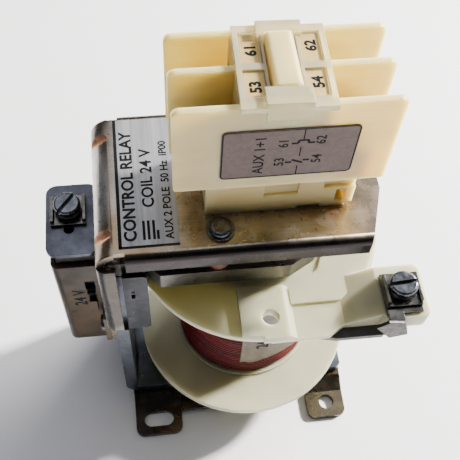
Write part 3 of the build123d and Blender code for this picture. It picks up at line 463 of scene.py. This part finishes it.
def wound_wire():
    """Outer layer of the winding: one helix of round wire drawn as a ribbed sleeve."""
    low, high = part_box("winding")
    radius = winding_radius()
    around, along = 144, 6
    turns = int((high.z - low.z) / WIRE_PITCH) - 1
    start = (low.z + high.z - turns * WIRE_PITCH) / 2
    rows = turns * along
    verts = []
    for i in range(rows + 1):
        share = i / along
        bulge = abs(sin(pi * share)) ** 0.5
        for j in range(around):
            turn = j / around
            z = start + (share + turn - 0.5) * WIRE_PITCH
            wobble = WIRE_WOBBLE * sin(7 * turn * 2 * pi + share * 1.7)
            r = radius - GROOVE_DEPTH + WIRE_BULGE * bulge + wobble * bulge
            z = min(max(z, low.z), high.z)
            verts.append((r * cos(2 * pi * turn), r * sin(2 * pi * turn), z))
    faces = []
    for i in range(rows):
        for j in range(around):
            k = (j + 1) % around
            if k:
                faces.append((i * around + j, i * around + k, (i + 1) * around + k, (i + 1) * around + j))
            elif i + along < rows + 1:
                faces.append((i * around + j, (i + along) * around, min(i + along + 1, rows) * around,
                              (i + 1) * around + j))
    coil = mesh_object("wire_layer", verts, faces, ENAMEL)
    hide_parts("winding")
    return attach(coil, "frame")


PAPER_LIFT = 0.22 * MM
PAPER_THICK = 0.12 * MM
STAMP_LIFT = 0.42 * MM


def paper_label():
    """Paper wrap that follows the ribs of the wire, with a slightly ragged lower edge."""
    low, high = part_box("winding_label")
    radius = winding_radius() + PAPER_LIFT
    first, last = radians(-101), radians(18)
    columns, rows = 90, 70
    verts = []
    for i in range(rows + 1):
        for j in range(columns + 1):
            angle = first + (last - first) * j / columns
            ragged = 0.0009 * sin(angle * 9) * (1 - i / rows) ** 4
            z = low.z + (high.z - low.z) * i / rows + ragged
            rib = 0.00008 * sin(2 * pi * z / WIRE_PITCH) + 0.00012 * sin(angle * 14 + i * 0.11)
            lift = 0.0006 * max(0.0, 1 - j / 3) ** 2
            r = radius + rib + lift
            verts.append((r * cos(angle), r * sin(angle), z))
    step = columns + 1
    faces = [(i * step + j, i * step + j + 1, (i + 1) * step + j + 1, (i + 1) * step + j)
             for i in range(rows) for j in range(columns)]
    label = mesh_object("winding_wrap", verts, faces, PAPER)
    thick = label.modifiers.new("thick", "SOLIDIFY")
    thick.thickness = PAPER_THICK
    thick.offset = -1.0
    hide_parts("winding_label")
    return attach(label, "frame")


def stamp_on_wrap(text, angle_deg, z, size_mm):
    """Stamped characters bent round the paper, reading upwards."""
    radius = winding_radius() + STAMP_LIFT
    letters = print_text("wrap_stamp_" + text.replace(" ", "_"), text, size_mm, Matrix.Identity(4), bold=0.12)
    for vert in letters.data.vertices:
        across, up = -vert.co.y, vert.co.x
        angle = radians(angle_deg) + across / radius
        vert.co = (radius * cos(angle), radius * sin(angle), z + up)
    letters.data.update()
    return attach(letters, "frame")


def helix_points(x, y, z_low, z_high, radius, turns, closed_ends=0.8, steps=28):
    """Points of a compression spring with flattened end turns."""
    count = int(turns * steps)
    points = []
    for i in range(count + 1):
        t = i / count
        wound = t * turns
        ease = min(1.0, wound / closed_ends, (turns - wound) / closed_ends)
        points.append((x + radius * cos(2 * pi * wound), y + radius * sin(2 * pi * wound), t, ease))
    total, heights = 0.0, [0.0]
    for i in range(1, count + 1):
        total += 0.25 + 0.75 * points[i][3]
        heights.append(total)
    return [(px, py, z_low + (z_high - z_low) * h / total) for (px, py, _, _), h in zip(points, heights)]


def spring_piece(name, node, wire_mm, turns):
    """A coiled wire spring drawn in place of the CAD one, spanning the same height."""
    low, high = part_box(node)
    wire = wire_mm * MM
    radius = (high.x - low.x) / 2 - wire
    cx, cy = (low.x + high.x) / 2, (low.y + high.y) / 2
    points = helix_points(cx, cy, low.z + wire, high.z - wire, radius, turns)
    spring = tube(name, points, wire, SPRING)
    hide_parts(node)
    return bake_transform(spring)


# ---------------------------------------------------------------- printing
INK_LIFT = 0.03 * MM


def nameplate_print():
    """Generic rating plate: black line along two edges and three lines of print from front to rear."""
    low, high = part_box("nameplate")
    z = high.z + INK_LIFT
    place = plane_matrix((low.x, low.y, z), (0, 1, 0), (-1, 0, 0))
    width, height = (high.y - low.y) / MM, (high.x - low.x) / MM
    parts = [flat_bar("plate_edge_a", (0.0, -0.4), (width, -0.4), 0.8, place),
             flat_bar("plate_edge_b", (0.2, 0.0), (0.2, -height), 0.4, place)]
    for index, (x, length) in enumerate(((6.0, 5.2), (7.1, 5.2), (8.3, 5.2), (9.2, 2.4))):
        parts.append(flat_bar(f"plate_block_{index}", (1.8, -x), (1.8 + length, -x), 0.62, place))
    lines = [("CONTROL RELAY", 4.0, 1.6, -3.0, 0.12), ("COIL 24 V", 3.9, 10.6, -7.6, 0.09),
             ("AUX 2 POLE  50 Hz  IP00", 2.65, 1.6, -11.9, 0.06)]
    for index, (text, size, x, y, bold) in enumerate(lines):
        spot = place @ Matrix.Translation((x * MM, y * MM, 0))
        parts.append(print_text(f"plate_line_{index}", text, size, spot, align="LEFT", bold=bold))
    printed = join("nameplate_print", parts)
    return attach(printed, "frame")


def diagram_print():
    """Contact diagram: one opening and one closing pole, with their terminal numbers, and a black border."""
    low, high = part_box("contact_sticker")
    y = low.y - INK_LIFT
    centre = ((low.x + high.x) / 2, y, (low.z + high.z) / 2)
    place = plane_matrix(centre, (1, 0, 0), (0, 0, 1))
    margin = 0.1
    half_w, half_h = (high.x - low.x) / 2 / MM - margin, (high.z - low.z) / 2 / MM - margin
    parts = [rounded_border("diagram_border", half_w, half_h, 1.1, 0.32, place)]
    thin = [((2.6, half_h), (2.6, 4.4)), ((2.3, 1.8), (2.3, -1.2)), ((2.2, -4.4), (2.2, -half_h))]
    opening = [((0.2, 3.2), (1.6, 3.2)), ((1.6, 3.2), (1.6, 4.1)), ((1.6, 4.1), (3.7, 4.1)),
               ((3.7, 4.1), (3.7, 3.2)), ((3.7, 3.2), (5.1, 3.2))]
    closing = [((-0.6, -3.1), (0.8, -3.1)), ((0.8, -2.3), (3.2, -3.5)), ((3.2, -2.6), (4.6, -2.6))]
    for width, strokes in ((0.26, thin), (0.55, opening + closing)):
        for index, (start, end) in enumerate(strokes):
            parts.append(flat_bar(f"diagram_{width}_{index}", start, end, width, place))
    texts = [("61", -1.4, 3.4, 2.9), ("62", 6.4, 3.9, 2.9), ("53", -1.8, -2.8, 2.9), ("54", 6.2, -2.4, 2.9),
             ("AUX 1+1", -6.2, -0.2, 3.2)]
    for text, tx, tz, size in texts:
        spot = place @ Matrix.Translation((tx * MM, tz * MM, 0)) @ Matrix.Rotation(pi / 2, 4, "Z")
        name = "diagram_" + text.replace(" ", "_").replace("+", "_")
        parts.append(print_text(name, text, size, spot, bold=0.05))
    printed = join("diagram_print", parts)
    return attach(printed, "frame")


def rounded_border(name, half_w, half_h, radius, width, place):
    """Thin rounded frame in the text plane, sizes in millimetres."""
    inner, outer = [], []
    for corner, (sx, sy) in enumerate(((1, 1), (-1, 1), (-1, -1), (1, -1))):
        for step in range(7):
            angle = pi / 2 * (corner + step / 6)
            for ring, grow in ((outer, 0.0), (inner, -width)):
                r = radius + grow
                x = sx * (half_w - radius) + r * cos(angle)
                y = sy * (half_h - radius) + r * sin(angle)
                ring.append(place @ Vector((x * MM, y * MM, 0)))
    count = len(outer)
    faces = [(i, (i + 1) % count, count + (i + 1) % count, count + i) for i in range(count)]
    return mesh_object(name, outer + inner, faces, INK, False)


def card_numbers():
    """Terminal numbers on the four cards, turned a quarter turn."""
    low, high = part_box("marker_cards")
    z = high.z + INK_LIFT
    middle = ((low.x + high.x) / 2, (low.y + high.y) / 2)
    parts = []
    for text, x, y in (("61", -0.0059, 0.0044), ("62", 0.0065, 0.0049), ("53", -0.0062, -0.0054),
                       ("54", 0.0063, -0.0050)):
        place = plane_matrix((middle[0] + x, middle[1] + y, z), (0, 1, 0), (-1, 0, 0))
        parts.append(print_text("card_" + text, text, 3.1, place, bold=0.14))
    printed = join("card_numbers", parts)
    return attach(printed, "frame")


CHANNEL_LUG_REACH = 7.0 * MM


def channel_stamp():
    """Small ink stamp on the front wall of the terminal channel, reading upwards.

    The box of the channel starts at its front lug, which stands out from that wall.
    """
    low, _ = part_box("terminal_channel")
    wall_y = low.y + CHANNEL_LUG_REACH
    place = plane_matrix((low.x + 0.0058, wall_y - INK_LIFT, low.z + 0.0265), (0, 0, 1), (-1, 0, 0))
    stamp = print_text("channel_stamp", "24 V", 4.8, place, bold=0.09)
    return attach(stamp, "frame")


# ---------------------------------------------------------------- stage
LIGHT_TARGET = Vector((0, 0, 0.06))


def build_stage():
    """Pale floor, light from the rear right and a soft fill from above."""
    corners = [(-3, -3, 0), (3, -3, 0), (3, 3, 0), (-3, 3, 0)]
    floor = mesh_object("floor", corners, [(0, 1, 2, 3)], floor_paper())
    area_light("key", (0.88, 0.30, 0.66), 0.12, 70.0, (1.0, 0.96, 0.90))
    area_light("window", (0.90, 0.85, 0.60), 0.7, 28.0, (1.0, 0.98, 0.95))
    area_light("sky", (-0.15, 0.45, 1.5), 1.5, 11.0, (0.95, 0.95, 1.0))
    world = bpy.data.worlds.new("studio")
    world.use_nodes = True
    world.node_tree.nodes["Background"].inputs["Color"].default_value = (0.86, 0.89, 0.95, 1.0)
    world.node_tree.nodes["Background"].inputs["Strength"].default_value = 0.14
    bpy.context.scene.world = world


def floor_paper():
    """Matt white paper under the relay."""
    s = Surface("floor_paper")
    s.colour(s.ramp(s.noise(8, 2.0), (0.2, srgb(236, 236, 240)), (0.8, srgb(244, 244, 247))))
    s.rough(s.span(s.noise(90, 2.0), 0.6, 0.75))
    return s.material


def area_light(name, place, size, power, colour):
    """Square lamp that points at the middle of the relay."""
    data = bpy.data.lights.new(name, "AREA")
    data.energy = power
    data.size = size
    data.color = colour
    lamp = bpy.data.objects.new(name, data)
    lamp.location = place
    lamp.rotation_mode = "QUATERNION"
    lamp.rotation_quaternion = (LIGHT_TARGET - Vector(place)).to_track_quat("-Z", "Y")
    bpy.context.scene.collection.objects.link(lamp)
    return lamp


def build_camera():
    """Camera high in front of the relay, slightly to its left, rolled a few degrees."""
    azimuth, elevation, roll = radians(-11.19), radians(57.95), radians(5.02)
    back = Vector((sin(azimuth) * cos(elevation), -cos(azimuth) * cos(elevation), sin(elevation)))
    data = bpy.data.cameras.new("camera")
    data.sensor_width = 36.0
    data.lens = 59.86
    data.clip_start = 0.01
    data.clip_end = 20.0
    camera = bpy.data.objects.new("camera", data)
    camera.rotation_mode = "QUATERNION"
    level = (-back).to_track_quat("-Z", "Y").to_matrix()
    camera.rotation_quaternion = (level @ Matrix.Rotation(roll, 3, "Z")).to_quaternion()
    camera.location = (-0.02789, -0.10778, 0.2486)
    bpy.context.scene.collection.objects.link(camera)
    bpy.context.scene.camera = camera


# ---------------------------------------------------------------- the pieces
for node, material in MATERIAL_OF.items():
    dress(node, material)
for node, radius in EDGE_RADIUS.items():
    soften(node, radius)
wound_wire()
paper_label()
stamp_on_wrap("24 V", -84, 0.044, 5.0)
stamp_on_wrap("50 Hz", -62, 0.046, 4.2)
spring_piece("return_spring_coil", "return_spring", 0.45, 7.0)
spring_piece("traverse_spring_coil", "traverse_spring", 0.35, 3.5)
nameplate_print()
diagram_print()
card_numbers()
channel_stamp()
build_stage()
build_camera()
